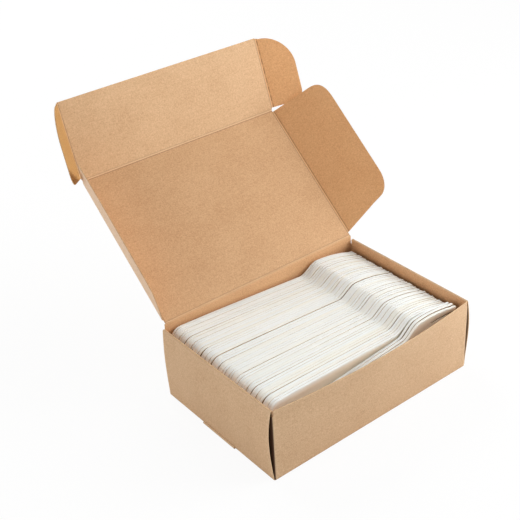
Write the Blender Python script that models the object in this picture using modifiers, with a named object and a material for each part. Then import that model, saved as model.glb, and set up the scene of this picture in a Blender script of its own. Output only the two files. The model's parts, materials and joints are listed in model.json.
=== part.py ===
"""Open kraft mailer box with two layers of pressed bagasse forks on edge.

The origin is the middle of the underside of the tray. X runs along the front wall, +Y points to the
back wall and +Z is up. Lengths are in metres.
"""
import math
import random

import bmesh
import bpy
from mathutils import Matrix, Vector

NAME = "bagasse_fork_pack"

# Forks
FORK_LENGTH = 0.162
FORK_WIDTH = 0.0252
FORK_THICKNESS = 0.0015
NECK_WIDTH = 0.0108
HEAD_WIDTH = 0.0248
HEAD_END_WIDTH = 0.0188
HANDLE_CORNER = 0.008
NECK_X = FORK_LENGTH * 0.691
SHOULDER_X = FORK_LENGTH * 0.784
SLOT_X = FORK_LENGTH * 0.852
HEAD_END_X = FORK_LENGTH * 0.951
SLOT_ROOT_WIDTH = 0.0010
SLOT_TIP_WIDTH = 0.0018
TINE_TIP_CUT = 0.0006
TIP_RISE = 0.0022
BOWL_DEPTH = 0.0014

# Tray
BOARD = 0.0005
END_ROOM = 0.008
LENGTH = FORK_LENGTH + END_ROOM
WIDTH = 0.113
HEIGHT = 0.054
ROLL_WIDTH = 0.0021
EAR_HEIGHT = HEIGHT - 0.004
EAR_LENGTH = WIDTH * 0.44
FOLD_RADIUS = 0.001
SIDE_SETBACK = 0.0009
FRONT_BOW = 0.0053
SIDE_BULGE_BACK = 0.0010
SIDE_BULGE_FRONT = 0.0026
LIP_LENGTH = 0.033
LIP_CENTRE_Y = -0.0005
LIP_REACH = 0.0012
LIP_HEIGHT = 0.0018

# Lid and flaps
HINGE_HEIGHT = HEIGHT + 0.0033
CREASE_GAP = 0.0003
LID_INSET = 0.0026
LID_LENGTH = WIDTH - 0.0004
LID_ANGLE = math.radians(139.7)
TUCK_INSET = 0.0016
TUCK_LENGTH = HEIGHT + 0.0008
TUCK_ANGLE = math.radians(30.7)
TUCK_NOTCH = 0.0022
FLAP_DEPTH = 0.0436
FLAP_START = 0.003
FLAP_END = LID_LENGTH - 0.0014
FLAP_NEAR_CORNER = 0.014
FLAP_NEAR_CENTRE = 0.026
FLAP_FAR_CORNER = 0.010
FLAP_LEFT_ANGLE = math.radians(70.0)
FLAP_RIGHT_ANGLE = math.radians(38.0)
EAR_DEPTH = 0.026
EAR_START = 0.0018
EAR_END = TUCK_LENGTH - 0.0004
EAR_NEAR_CORNER = 0.008
EAR_NEAR_CENTRE = 0.010
EAR_FAR_CORNER = 0.0225
EAR_FAR_CENTRE = TUCK_LENGTH - 0.0239
EAR_LEFT_ANGLE = math.radians(53.0)
EAR_RIGHT_ANGLE = math.radians(28.0)

# Rows of forks
REST_GAP = 0.0003
STACK_FOOT = BOARD + REST_GAP
STACK_TOP = STACK_FOOT + FORK_WIDTH + 0.0007
ROW_AXIS_HEIGHT = STACK_TOP + REST_GAP + FORK_WIDTH / 2
ROW_BACK = WIDTH - 0.0026
FAN_COUNT = 47
FORK_START = END_ROOM * 0.525
FAN_FRONT = 0.0065
FAN_FRONT_TIPS = 0.01634
STACK_FRONT = FAN_FRONT_TIPS - 0.0037
WIDE_GAP = 3.2
WIDE_GAPS_HANDLE = (7, 15, 20, 23, 31, 38, 43)
WIDE_GAPS_HEAD = (6, 13, 20, 29, 35, 43)
SLIP_PER_GAP = 1.4
LIFT_SCATTER = 0.0003
DROPPED_COUNT = 3
DROPPED_GAP = 0.0004
DROPPED_GAP_TIPS = 0.0015
DROPPED_TILT = math.radians(6.0)

KRAFT = (0.604, 0.376, 0.195)
KRAFT_LIGHT = (0.665, 0.430, 0.235)
BAGASSE = (0.855, 0.855, 0.800)

HALF_BOARD = BOARD / 2
WALL_FOOT = BOARD * 0.2
BACK_MID = WIDTH / 2 - HALF_BOARD
EAR_MID = LENGTH / 2 - ROLL_WIDTH / 2
LID_HALF = LENGTH / 2 - LID_INSET
TUCK_HALF = LENGTH / 2 - TUCK_INSET


def clear_scene():
    """Remove every object in the file."""
    for item in list(bpy.data.objects):
        bpy.data.objects.remove(item, do_unlink=True)


def make_collection(name):
    """Return a new collection under the scene's own."""
    group = bpy.data.collections.new(name)
    bpy.context.scene.collection.children.link(group)
    return group


def make_material(name, colour, roughness):
    """Return a Principled material with a plain colour."""
    finish = bpy.data.materials.new(name)
    finish.use_nodes = True
    shader = finish.node_tree.nodes["Principled BSDF"]
    shader.inputs["Base Color"].default_value = (*colour, 1.0)
    shader.inputs["Roughness"].default_value = roughness
    shader.inputs["Metallic"].default_value = 0.0
    return finish


def add_part(name, mesh, group, finish, parent=None):
    """Put a mesh in the collection as one named part."""
    part = bpy.data.objects.new(name, mesh)
    if not mesh.materials:
        mesh.materials.append(finish)
    group.objects.link(part)
    part.parent = parent
    return part


def add_frame(name, group, parent, location, rotation):
    """Return an empty that stands on a crease."""
    frame = bpy.data.objects.new(name, None)
    frame.empty_display_size = 0.01
    frame.location = location
    frame.rotation_euler = rotation
    frame.parent = parent
    group.objects.link(frame)
    return frame


def filled_outline(name, points):
    """Return a bmesh with the area inside a closed outline in the XY plane."""
    curve = bpy.data.curves.new(name, "CURVE")
    curve.dimensions = "2D"
    curve.fill_mode = "BOTH"
    spline = curve.splines.new("POLY")
    spline.points.add(len(points) - 1)
    for point, (x, y) in zip(spline.points, points):
        point.co = (x, y, 0.0, 1.0)
    spline.use_cyclic_u = True
    outline = bpy.data.objects.new(name, curve)
    bpy.context.scene.collection.objects.link(outline)
    graph = bpy.context.evaluated_depsgraph_get()
    flat = bpy.data.meshes.new_from_object(outline.evaluated_get(graph))
    bpy.data.objects.remove(outline, do_unlink=True)
    shape = bmesh.new()
    shape.from_mesh(flat)
    bpy.data.meshes.remove(flat)
    bmesh.ops.remove_doubles(shape, verts=shape.verts, dist=0.00001)
    bmesh.ops.dissolve_limit(shape, angle_limit=0.01, verts=shape.verts, edges=shape.edges)
    return shape


def thicken(shape, step):
    """Give a flat sheet a thickness along one direction and return it as a closed body."""
    grown = bmesh.ops.extrude_face_region(shape, geom=list(shape.faces))
    moved = [item for item in grown["geom"] if isinstance(item, bmesh.types.BMVert)]
    bmesh.ops.translate(shape, verts=moved, vec=step)
    bmesh.ops.recalc_face_normals(shape, faces=shape.faces)


def finish_mesh(name, shape):
    """Turn a bmesh into a mesh and free it."""
    mesh = bpy.data.meshes.new(name)
    shape.to_mesh(mesh)
    shape.free()
    return mesh


def arc(centre, radius, start, end, steps):
    """Return the points of an arc, both ends included, angles in degrees."""
    turn = (end - start) / steps
    angles = [math.radians(start + turn * i) for i in range(steps + 1)]
    return [(centre[0] + radius * math.cos(a), centre[1] + radius * math.sin(a)) for a in angles]


def board_sheet(name, helpers, columns, rows, place):
    """Bend a grid with place(column, row) and give it the board's thickness."""
    shape = bmesh.new()
    bmesh.ops.create_grid(shape, x_segments=columns, y_segments=rows, size=0.5)
    for vert in shape.verts:
        column = round((vert.co.x + 0.5) * columns)
        row = round((vert.co.y + 0.5) * rows)
        vert.co = place(column, row)
    sheet = bpy.data.objects.new(name, finish_mesh(name, shape))
    sheet.hide_render = True
    sheet.display_type = "WIRE"
    helpers.objects.link(sheet)
    solid = sheet.modifiers.new("board", "SOLIDIFY")
    solid.thickness = BOARD
    solid.offset = 0.0
    solid.use_even_offset = True
    return sheet


def end_wall(name, helpers, side, fronts, rows, height_at, bow):
    """Make the front or back wall with the ear at each of its ends.

    The plan path runs up one ear, round the fold, along the wall and back down the other ear.
    """
    mid_radius = FOLD_RADIUS - HALF_BOARD
    turn_x = EAR_MID - mid_radius
    turn_y = BACK_MID - mid_radius
    right = [(EAR_MID, turn_y - EAR_LENGTH)] + arc((turn_x, turn_y), mid_radius, 0, 90, 3)
    middle = [(turn_x * (1 - 2 * i / fronts), BACK_MID) for i in range(1, fronts)]
    left = [(-x, y) for x, y in reversed(right)]
    path = right + middle + left

    def place(column, row):
        x, y = path[column]
        up = row / rows
        top = height_at(x, y)
        out = bow * (1 - (x / turn_x) ** 2) * up ** 1.2 if abs(x) < turn_x else 0.0
        return Vector((x, side * (y + out), WALL_FOOT + (top - WALL_FOOT) * up))

    return board_sheet(name, helpers, len(path) - 1, rows, place)


def side_wall(name, helpers, side):
    """Make one rolled side wall: outer panel, round rim and inner panel."""
    radius = ROLL_WIDTH / 2 - HALF_BOARD
    rim = arc((EAR_MID, HEIGHT - ROLL_WIDTH / 2), radius, 0, 180, 4)
    outer = [(rim[0][0], WALL_FOOT + (rim[0][1] - WALL_FOOT) * (i / 6)) for i in range(6)]
    profile = outer + rim + [(rim[-1][0], BOARD / 2)]
    columns = 5
    half = WIDTH / 2 - SIDE_SETBACK

    def place(column, row):
        x, z = profile[row]
        back = column / columns
        rise = (z / rim[0][1]) ** 1.4
        swell = SIDE_BULGE_FRONT + (SIDE_BULGE_BACK - SIDE_BULGE_FRONT) * back
        bulge = swell * 4 * rise * (1 - rise) if row < len(outer) else 0.0
        return Vector((side * (x + bulge), half * (2 * back - 1), z))

    return board_sheet(name, helpers, columns, len(profile) - 1, place)


def lock_lip(name, helpers, side):
    """Make the lip of the lock tab that shows at the foot of a side wall."""
    shape = bmesh.new()
    bmesh.ops.create_cube(shape, size=1.0)
    reach = LIP_REACH + HALF_BOARD
    bmesh.ops.scale(shape, verts=shape.verts, vec=(reach, LIP_LENGTH, LIP_HEIGHT))
    middle = (side * (LENGTH / 2 - HALF_BOARD + reach / 2), LIP_CENTRE_Y, LIP_HEIGHT / 2 + BOARD * 0.1)
    bmesh.ops.translate(shape, verts=shape.verts, vec=middle)
    lip = bpy.data.objects.new(name, finish_mesh(name, shape))
    lip.hide_render = True
    lip.display_type = "WIRE"
    helpers.objects.link(lip)
    return lip


def build_tray(group, helpers, finish):
    """Join the folded walls to the bottom as one body."""
    shape = bmesh.new()
    bmesh.ops.create_cube(shape, size=1.0)
    floor_size = (LENGTH - BOARD, WIDTH - BOARD, BOARD)
    bmesh.ops.scale(shape, verts=shape.verts, vec=floor_size)
    bmesh.ops.translate(shape, verts=shape.verts, vec=(0.0, 0.0, BOARD / 2))
    tray = add_part("tray", finish_mesh("tray", shape), group, finish)

    back_top = HINGE_HEIGHT - HALF_BOARD - CREASE_GAP
    straight = LENGTH / 2 - FOLD_RADIUS * 2

    def front_height(x, y):
        return HEIGHT if abs(x) < straight else EAR_HEIGHT

    def back_height(x, y):
        return back_top if abs(x) < LID_HALF + HALF_BOARD else EAR_HEIGHT

    walls = [
        end_wall("front_wall", helpers, -1, 12, 5, front_height, FRONT_BOW),
        end_wall("back_wall", helpers, 1, 4, 2, back_height, 0.0),
        side_wall("left_wall", helpers, -1),
        side_wall("right_wall", helpers, 1),
        lock_lip("left_lip", helpers, -1),
        lock_lip("right_lip", helpers, 1),
    ]
    for wall in walls:
        join = tray.modifiers.new(wall.name, "BOOLEAN")
        join.operation = "UNION"
        join.solver = "EXACT"
        join.object = wall
    return tray


def creased_plate(name, points):
    """Make a flat board plate whose edge on the X axis is rounded for its crease."""
    shape = filled_outline(name, points)
    thicken(shape, (0.0, 0.0, BOARD))
    bmesh.ops.translate(shape, verts=shape.verts, vec=(0.0, 0.0, -HALF_BOARD))
    ends = [edge for edge in shape.edges if all(abs(v.co.y - max(p[1] for p in points)) < 1e-7
                                                for v in edge.verts)]
    long_ends = [edge for edge in ends if abs(edge.verts[0].co.z - edge.verts[1].co.z) < 1e-7]
    bmesh.ops.bevel(shape, geom=long_ends, offset=HALF_BOARD * 0.96, segments=2, profile=0.5,
                    affect="EDGES", clamp_overlap=False)
    bmesh.ops.recalc_face_normals(shape, faces=shape.faces)
    return finish_mesh(name, shape)


def lid_outline():
    """Return the lid: its crease edge is at the top and its far edge faces -Y."""
    side = LID_HALF - HALF_BOARD - CREASE_GAP
    far = -(LID_LENGTH - HALF_BOARD - CREASE_GAP)
    return [(-side, HALF_BOARD), (-side, far), (side, far), (side, HALF_BOARD)]


def tuck_outline():
    """Return the tuck flap: its crease edge is at the top and its free edge faces -Y."""
    side = TUCK_HALF - HALF_BOARD - CREASE_GAP
    far = -TUCK_LENGTH
    ends = LID_HALF - HALF_BOARD - CREASE_GAP
    notch = HALF_BOARD - TUCK_NOTCH
    return [(-ends, HALF_BOARD), (-side, notch), (-side, far), (side, far), (side, notch),
            (ends, HALF_BOARD)]


def flap_outline():
    """Return a side flap: x runs along the lid from the hinge and -y is its depth."""
    depth = -FLAP_DEPTH
    near = arc((FLAP_NEAR_CENTRE, depth + FLAP_NEAR_CORNER), FLAP_NEAR_CORNER, 210, 270, 3)
    far = arc((FLAP_END - FLAP_FAR_CORNER, depth + FLAP_FAR_CORNER), FLAP_FAR_CORNER, 270, 360, 4)
    return [(FLAP_START, HALF_BOARD)] + near + far + [(FLAP_END, HALF_BOARD)]


def ear_outline():
    """Return a tuck ear: x runs along the tuck flap from the lid and -y is its depth."""
    depth = -EAR_DEPTH
    near = arc((EAR_NEAR_CENTRE, depth + EAR_NEAR_CORNER), EAR_NEAR_CORNER, 180, 270, 3)
    far = arc((EAR_FAR_CENTRE, depth + EAR_FAR_CORNER), EAR_FAR_CORNER, 270, 350, 4)
    return [(EAR_START, HALF_BOARD)] + near + far + [(EAR_END, HALF_BOARD)]


def build_lid(group, board, light):
    """Make the lid with its flaps, each on an empty that stands on its crease."""
    lid_frame = add_frame("lid_crease", group, None, (0.0, BACK_MID, HINGE_HEIGHT), (-LID_ANGLE, 0.0, 0.0))
    add_part("lid_panel", creased_plate("lid_panel", lid_outline()), group, board, lid_frame)
    tuck_frame = add_frame("tuck_crease", group, lid_frame, (0.0, -LID_LENGTH, 0.0), (TUCK_ANGLE, 0.0, 0.0))
    add_part("tuck_flap", creased_plate("tuck_flap", tuck_outline()), group, light, tuck_frame)
    flaps = [
        ("side_flap_left", lid_frame, LID_HALF, -1, FLAP_LEFT_ANGLE, flap_outline()),
        ("side_flap_right", lid_frame, LID_HALF, 1, FLAP_RIGHT_ANGLE, flap_outline()),
        ("tuck_ear_left", tuck_frame, TUCK_HALF, -1, EAR_LEFT_ANGLE, ear_outline()),
        ("tuck_ear_right", tuck_frame, TUCK_HALF, 1, EAR_RIGHT_ANGLE, ear_outline()),
    ]
    for name, parent, half, side, angle, points in flaps:
        frame = add_frame(name + "_crease", group, parent, (side * half, 0.0, 0.0), (0.0, side * angle, 0.0))
        mesh = creased_plate(name, points)
        # The outline's x is the way along the crease (-Y) and its -y is the way out from it.
        turn = Matrix(((0.0, -side, 0.0), (-1.0, 0.0, 0.0), (0.0, 0.0, 1.0))).to_4x4()
        mesh.transform(turn)
        if turn.determinant() < 0:
            mesh.flip_normals()
        add_part(name, mesh, group, light, frame)


def fork_outline():
    """Return the outline of a fork with its handle end at x = 0 and its tips at +X."""
    half = FORK_WIDTH / 2
    neck = NECK_WIDTH / 2
    head = HEAD_WIDTH / 2
    head_end = HEAD_END_WIDTH / 2
    corner = arc((HANDLE_CORNER, half - HANDLE_CORNER), HANDLE_CORNER, 180, 90, 2)
    taper = [(FORK_LENGTH * 0.377, half * 0.73), (FORK_LENGTH * 0.593, half * 0.508), (NECK_X, neck)]
    swell = []
    for i in range(1, 4):
        t = i / 4
        swell.append((NECK_X + (SHOULDER_X - NECK_X) * t, neck + (head - neck) * t * t * (3 - 2 * t)))
    side = [(SHOULDER_X, head), (FORK_LENGTH * 0.870, head * 0.92), (HEAD_END_X, head_end)]
    root = SLOT_ROOT_WIDTH / 2
    tip = SLOT_TIP_WIDTH / 2
    root_spread = head * 0.452
    tip_spread = head_end * 0.457
    end = FORK_LENGTH - TINE_TIP_CUT
    outer_tine = [(end - TINE_TIP_CUT * 3, head_end * 0.81), (end - TINE_TIP_CUT * 0.7, head_end * 0.68),
                  (end - TINE_TIP_CUT * 1.2, tip_spread + tip), (SLOT_X, root_spread + root)]
    inner_tine = [(SLOT_X, root_spread - root), (end, tip_spread - tip), (FORK_LENGTH, tip_spread * 0.51),
                  (end, tip), (SLOT_X, root)]
    upper = corner + taper + swell + side + outer_tine + inner_tine
    return upper + [(x, -z) for x, z in reversed(upper)]


def fork_half_width(x):
    """Return the half width of the head near x, used to fade the bowl out at its edges."""
    along = min(max((x - SHOULDER_X) / (FORK_LENGTH - SHOULDER_X), 0.0), 1.0)
    return HEAD_WIDTH / 2 * (1 - along) + HEAD_END_WIDTH / 2 * along


def press(x, z):
    """Return how far the fork's face is pushed along y at a point.

    The tips rise towards the front with the square of the distance from the neck, and the bowl sinks
    to the back by a parabola across the head times a sine along it.
    """
    along = min(max((x - NECK_X) / (FORK_LENGTH - NECK_X), 0.0), 1.0)
    across = max(1.0 - (z / fork_half_width(x)) ** 2, 0.0)
    return BOWL_DEPTH * math.sin(math.pi * along) * across - TIP_RISE * along * along


def fork_mesh(name):
    """Make one fork on edge, its front face at y = 0 where it is flat."""
    shape = filled_outline(name, fork_outline())
    for x in (FORK_LENGTH * 0.377, FORK_LENGTH * 0.593, NECK_X, SHOULDER_X, SLOT_X - SLOT_ROOT_WIDTH):
        bmesh.ops.bisect_plane(shape, geom=shape.verts[:] + shape.edges[:] + shape.faces[:],
                               dist=0.000001, plane_co=(x, 0.0, 0.0), plane_no=(1.0, 0.0, 0.0))
    bmesh.ops.bisect_plane(shape, geom=shape.verts[:] + shape.edges[:] + shape.faces[:],
                           dist=0.000001, plane_co=(0.0, 0.0, 0.0), plane_no=(0.0, 1.0, 0.0))
    bmesh.ops.triangulate(shape, faces=shape.faces[:])
    for vert in shape.verts:
        x, z = vert.co.x, vert.co.y
        vert.co = (x, press(x, z), z)
    thicken(shape, (0.0, FORK_THICKNESS, 0.0))
    return finish_mesh(name, shape)


def fan_gaps(front, wide):
    """Return the gaps of the fan from the back, which share out the room in front of the back fork."""
    weights = [WIDE_GAP if i in wide else 1.0 for i in range(1, FAN_COUNT)]
    narrow = (ROW_BACK - front - FAN_COUNT * FORK_THICKNESS) / sum(weights)
    return [weight * narrow for weight in weights]


def front_faces(gaps):
    """Return the y of each fork's front face from the back one to the front one."""
    faces = [ROW_BACK - FORK_THICKNESS]
    for gap in gaps:
        faces.append(faces[-1] - gap - FORK_THICKNESS)
    return faces


def build_forks(group, finish):
    """Stand the forks in a fan, then the dropped ones in front of it."""
    mesh = fork_mesh("fork")
    scatter = random.Random(5)
    handle_gaps = fan_gaps(FAN_FRONT, WIDE_GAPS_HANDLE)
    tip_gaps = fan_gaps(FAN_FRONT_TIPS, WIDE_GAPS_HEAD)
    slip = SLIP_PER_GAP * min(tip_gaps)
    handle_faces = front_faces(handle_gaps + [DROPPED_GAP] * DROPPED_COUNT)
    tip_faces = front_faces(tip_gaps + [DROPPED_GAP_TIPS] * DROPPED_COUNT)
    for i in range(FAN_COUNT + DROPPED_COUNT):
        slope = (tip_faces[i] - handle_faces[i]) / FORK_LENGTH
        start = FORK_START + slip * scatter.uniform(-1, 1)
        lift = LIFT_SCATTER * scatter.uniform(0, 1)
        tilt = 0.0 if i < FAN_COUNT else DROPPED_TILT
        base = Vector((start - LENGTH / 2, handle_faces[i] - WIDTH / 2, ROW_AXIS_HEIGHT + lift))
        pivot = Vector((SHOULDER_X, 0.0, 0.0))
        turn = Matrix.Rotation(math.atan(slope), 4, "Z")
        rock = Matrix.Translation(pivot) @ Matrix.Rotation(-tilt, 4, "Y") @ Matrix.Translation(-pivot)
        fork = add_part(f"fork_{i + 1:02d}", mesh, group, finish)
        fork.matrix_world = Matrix.Translation(base) @ turn @ rock


def build_lower_stack(group, finish):
    """Make the hidden lower layer as one body with the outline of a fork."""
    height = STACK_TOP - STACK_FOOT
    upper = [(x, z) for x, z in fork_outline() if z > 0 and (x < SLOT_X or z > HEAD_END_WIDTH / 2 * 0.79)]
    points = upper + [(FORK_LENGTH, HEAD_END_WIDTH * 0.12)]
    points = points + [(x, -z) for x, z in reversed(points)]
    spread = height / FORK_WIDTH
    shape = filled_outline("lower_fork_stack", [(x, z * spread) for x, z in points])
    for vert in shape.verts:
        vert.co = (vert.co.x, 0.0, vert.co.y)
    thicken(shape, (0.0, ROW_BACK - STACK_FRONT, 0.0))
    stack = add_part("lower_fork_stack", finish_mesh("lower_fork_stack", shape), group, finish)
    stack.location = (FORK_START - LENGTH / 2, STACK_FRONT - WIDTH / 2, STACK_FOOT + height / 2)
    return stack


def main():
    """Build every part of the pack."""
    clear_scene()
    group = make_collection(NAME)
    helpers = make_collection("helpers")
    board = make_material("kraft_board", KRAFT, 0.75)
    light = make_material("kraft_flap", KRAFT_LIGHT, 0.75)
    pulp = make_material("bagasse", BAGASSE, 0.85)
    build_tray(group, helpers, board)
    build_lid(group, board, light)
    build_lower_stack(group, pulp)
    build_forks(group, pulp)


main()
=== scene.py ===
"""Looks of the open kraft mailer box and its pressed bagasse forks.

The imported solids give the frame. Each board panel, each wall of the tray and each fork is a numpy
surface that stands where its solid does. Lengths are in metres, X runs along the front wall, +Y
points to the back wall and +Z is up.
"""
from __future__ import annotations

import json
import logging
import math
import random
from dataclasses import dataclass
from enum import Enum
from typing import Callable, Iterable

import bpy
import numpy as np
from mathutils import Matrix


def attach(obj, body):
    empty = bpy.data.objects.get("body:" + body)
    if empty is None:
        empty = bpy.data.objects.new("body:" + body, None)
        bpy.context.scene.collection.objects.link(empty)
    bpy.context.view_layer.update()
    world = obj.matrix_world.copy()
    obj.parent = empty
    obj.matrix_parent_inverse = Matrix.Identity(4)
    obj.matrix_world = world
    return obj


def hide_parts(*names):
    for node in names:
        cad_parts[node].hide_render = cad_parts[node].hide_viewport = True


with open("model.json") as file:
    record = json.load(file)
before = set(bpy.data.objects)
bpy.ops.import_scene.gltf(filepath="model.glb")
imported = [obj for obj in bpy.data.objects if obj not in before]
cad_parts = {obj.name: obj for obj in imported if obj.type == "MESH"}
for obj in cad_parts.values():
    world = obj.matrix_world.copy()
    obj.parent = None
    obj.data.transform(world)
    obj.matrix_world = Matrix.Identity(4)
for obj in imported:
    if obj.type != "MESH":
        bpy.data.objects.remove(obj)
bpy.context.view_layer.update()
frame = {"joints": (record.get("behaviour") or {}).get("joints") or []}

Array = np.ndarray
Colour = tuple[int, int, int]
Place = tuple[float, float, float]
MM = 0.001
LOG = logging.getLogger("fork_pack")

BOARD = 0.5 * MM
LENGTH = 170.0 * MM
WIDTH = 113.0 * MM
HEIGHT = 54.0 * MM
ROLL_WIDTH = 2.1 * MM
LID_HALF = LENGTH / 2 - 2.6 * MM
TUCK_HALF = LENGTH / 2 - 1.6 * MM
LID_LENGTH = WIDTH - 0.4 * MM
TUCK_LENGTH = HEIGHT + 0.8 * MM
X_AXIS = np.array([1.0, 0.0, 0.0])
JOINTS = {joint["name"]: joint for joint in frame["joints"]}


class Side(Enum):
    """The left or right end of the box."""

    LEFT = -1
    RIGHT = 1

    @property
    def word(self) -> str:
        """The side's word in the names of pieces, bodies and joints."""
        return self.name.lower()


# ---- shader graphs ----


class Value:
    """A node's output socket that arithmetic works on."""

    def __init__(self, graph: "Graph", socket: bpy.types.NodeSocket) -> None:
        """Keep the graph and the socket."""
        self.graph = graph
        self.socket = socket

    def _with(self, operation: str, other: "Value | float") -> "Value":
        """Return the Math node of one operation on this value and another."""
        return self.graph.node("Math", {"operation": operation}, {0: self, 1: other})

    def __add__(self, other: "Value | float") -> "Value":
        """Return self + other."""
        return self._with("ADD", other)

    def __mul__(self, other: "Value | float") -> "Value":
        """Return self * other."""
        return self._with("MULTIPLY", other)

    def __sub__(self, other: "Value | float") -> "Value":
        """Return self - other."""
        return self._with("SUBTRACT", other)

    def ramp(self, low: float, high: float) -> "Value":
        """Return 0 below low, 1 above high and a smooth step between them."""
        return self.graph.node("MapRange", {"interpolation_type": "SMOOTHSTEP"},
                               {0: self, 1: low, 2: high})


class Graph:
    """The node tree of one material or of the world."""

    def __init__(self, owner: bpy.types.Material | bpy.types.World) -> None:
        """Start with the tree of a material or of the world emptied."""
        self.owner = owner
        owner.use_nodes = True
        self.tree = owner.node_tree
        self.tree.nodes.clear()

    def node(self, kind: str, settings: dict[str, object], inputs: dict[str | int, object],
             output: str | int | None = 0) -> "Value | None":
        """Add one shader node.

        Args:
            kind: The node's type without ShaderNode in front.
            settings: Properties that are set before the sockets.
            inputs: Values or links by socket name or number.
            output: The socket to return, or None for a node that has none.

        Returns:
            The chosen output as a value, or None.
        """
        made = self.tree.nodes.new("ShaderNode" + kind)
        for key, value in settings.items():
            setattr(made, key, value)
        for key, value in inputs.items():
            if isinstance(value, Value):
                self.tree.links.new(value.socket, made.inputs[key])
            else:
                made.inputs[key].default_value = value
        return None if output is None else Value(self, made.outputs[output])

    def coordinates(self, stretch: Place = (1.0, 1.0, 1.0)) -> Value:
        """Return Object coordinates, stretched along the axes."""
        place = self.node("TexCoord", {}, {}, "Object")
        return self.node("Mapping", {}, {"Vector": place, "Scale": stretch})

    def noise(self, where: Value, scale: float, detail: float = 2.0, rough: float = 0.5) -> Value:
        """Return fractal noise around one half."""
        settings = {"Vector": where, "Scale": scale, "Detail": detail, "Roughness": rough}
        return self.node("TexNoise", {}, settings, "Fac")

    def attribute(self, name: str) -> Value:
        """Return a float attribute of the mesh."""
        return self.node("Attribute", {"attribute_name": name}, {}, "Fac")

    def mix(self, share: Value, first: object, second: object) -> Value:
        """Return a colour between two colours."""
        return self.node("Mix", {"data_type": "RGBA"}, {0: share, 6: first, 7: second}, 2)

    def shade(self, colour: Value, factor: Value) -> Value:
        """Return a colour times a number."""
        return self.node("VectorMath", {"operation": "SCALE"}, {"Vector": colour, "Scale": factor})

    def bump(self, height: Value, strength: float, distance: float) -> Value:
        """Return a normal that a height field bends."""
        return self.node("Bump", {}, {"Strength": strength, "Distance": distance, "Height": height},
                         "Normal")

    def finish(self, colour: Value, rough: Value, normal: Value,
               specular: float) -> bpy.types.Material:
        """Close the graph with a Principled shader and return the material."""
        inputs = {"Base Color": colour, "Roughness": rough, "Normal": normal,
                  "Specular IOR Level": specular}
        return self.close(self.node("BsdfPrincipled", {}, inputs))

    def close(self, shader: Value) -> bpy.types.Material:
        """Link a shader to the material's output and return the material."""
        self.node("OutputMaterial", {}, {"Surface": shader}, None)
        return self.owner


def paint(colour: Colour) -> tuple[float, ...]:
    """Return the linear colour of three sRGB numbers from 0 to 255."""
    share = np.array(colour) / 255.0
    linear = np.where(share < 0.04045, share / 12.92, ((share + 0.055) / 1.055) ** 2.4)
    return (*linear.tolist(), 1.0)


@dataclass(frozen=True)
class KraftFinish:
    """Uncoated kraft board: brown fibre mottling and faint streaks, with painted shade and painted
    highlight at creases.
    """

    name: str
    dark: Colour
    light: Colour
    # Dark fibres and the painted shade at creases take this colour.
    crease: Colour
    # Pale fibres and the painted highlights on beads and rims take this colour.
    ridge: Colour
    mottle: float = 1.20
    roughness: float = 0.62

    def material(self) -> bpy.types.Material:
        """Return the board's material.

        The tone is mottling of 1 mm, with streaks of 11 mm by 1 mm along X, clouds of 26 mm and
        fine grain. Thin dark and light fibres lie on it. A crease attribute paints in shade at
        creases, slits and feet, and a second attribute paints in a highlight on beads and rims.
        """
        dark, light, crease, ridge = map(paint, (self.dark, self.light, self.crease, self.ridge))
        graph = Graph(bpy.data.materials.new(self.name))
        where = graph.coordinates()
        mottle = graph.noise(where, 1000.0, 3.0, 0.6)
        grain = graph.noise(where, 3000.0, 2.0, 0.6)
        streak = graph.noise(graph.coordinates((0.10, 1.0, 1.0)), 900.0)
        cloud = graph.noise(where, 38.0)
        tone = mottle * 0.50 + grain * 0.30 + streak * 0.08 + cloud * 0.12
        share = (tone - 0.5) * (1.0 + self.mottle * 2.5) + 0.5
        base = graph.mix(share, dark, light)
        fleck = graph.noise(graph.coordinates((0.35, 1.0, 0.8)), 1500.0, 1.0, 0.4).ramp(0.66, 0.78)
        pale = graph.noise(graph.coordinates((0.8, 0.4, 1.0)), 1300.0, 1.0, 0.4).ramp(0.68, 0.80)
        flecked = graph.mix(fleck * 0.16, base, crease)
        fibred = graph.mix(pale * 0.35, flecked, ridge)
        # Painted highlight on beads and rims, then painted shade at creases.
        lifted = graph.mix(graph.attribute("ridge") * 0.75, fibred, ridge)
        colour = graph.mix(graph.attribute("crease"), lifted, crease)
        rough = grain * 0.16 + (self.roughness - 0.08)
        normal = graph.bump(mottle * 0.5 + grain * 0.5, 0.25, 0.03 * MM)
        return graph.finish(colour, rough, normal, 0.35)


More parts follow.
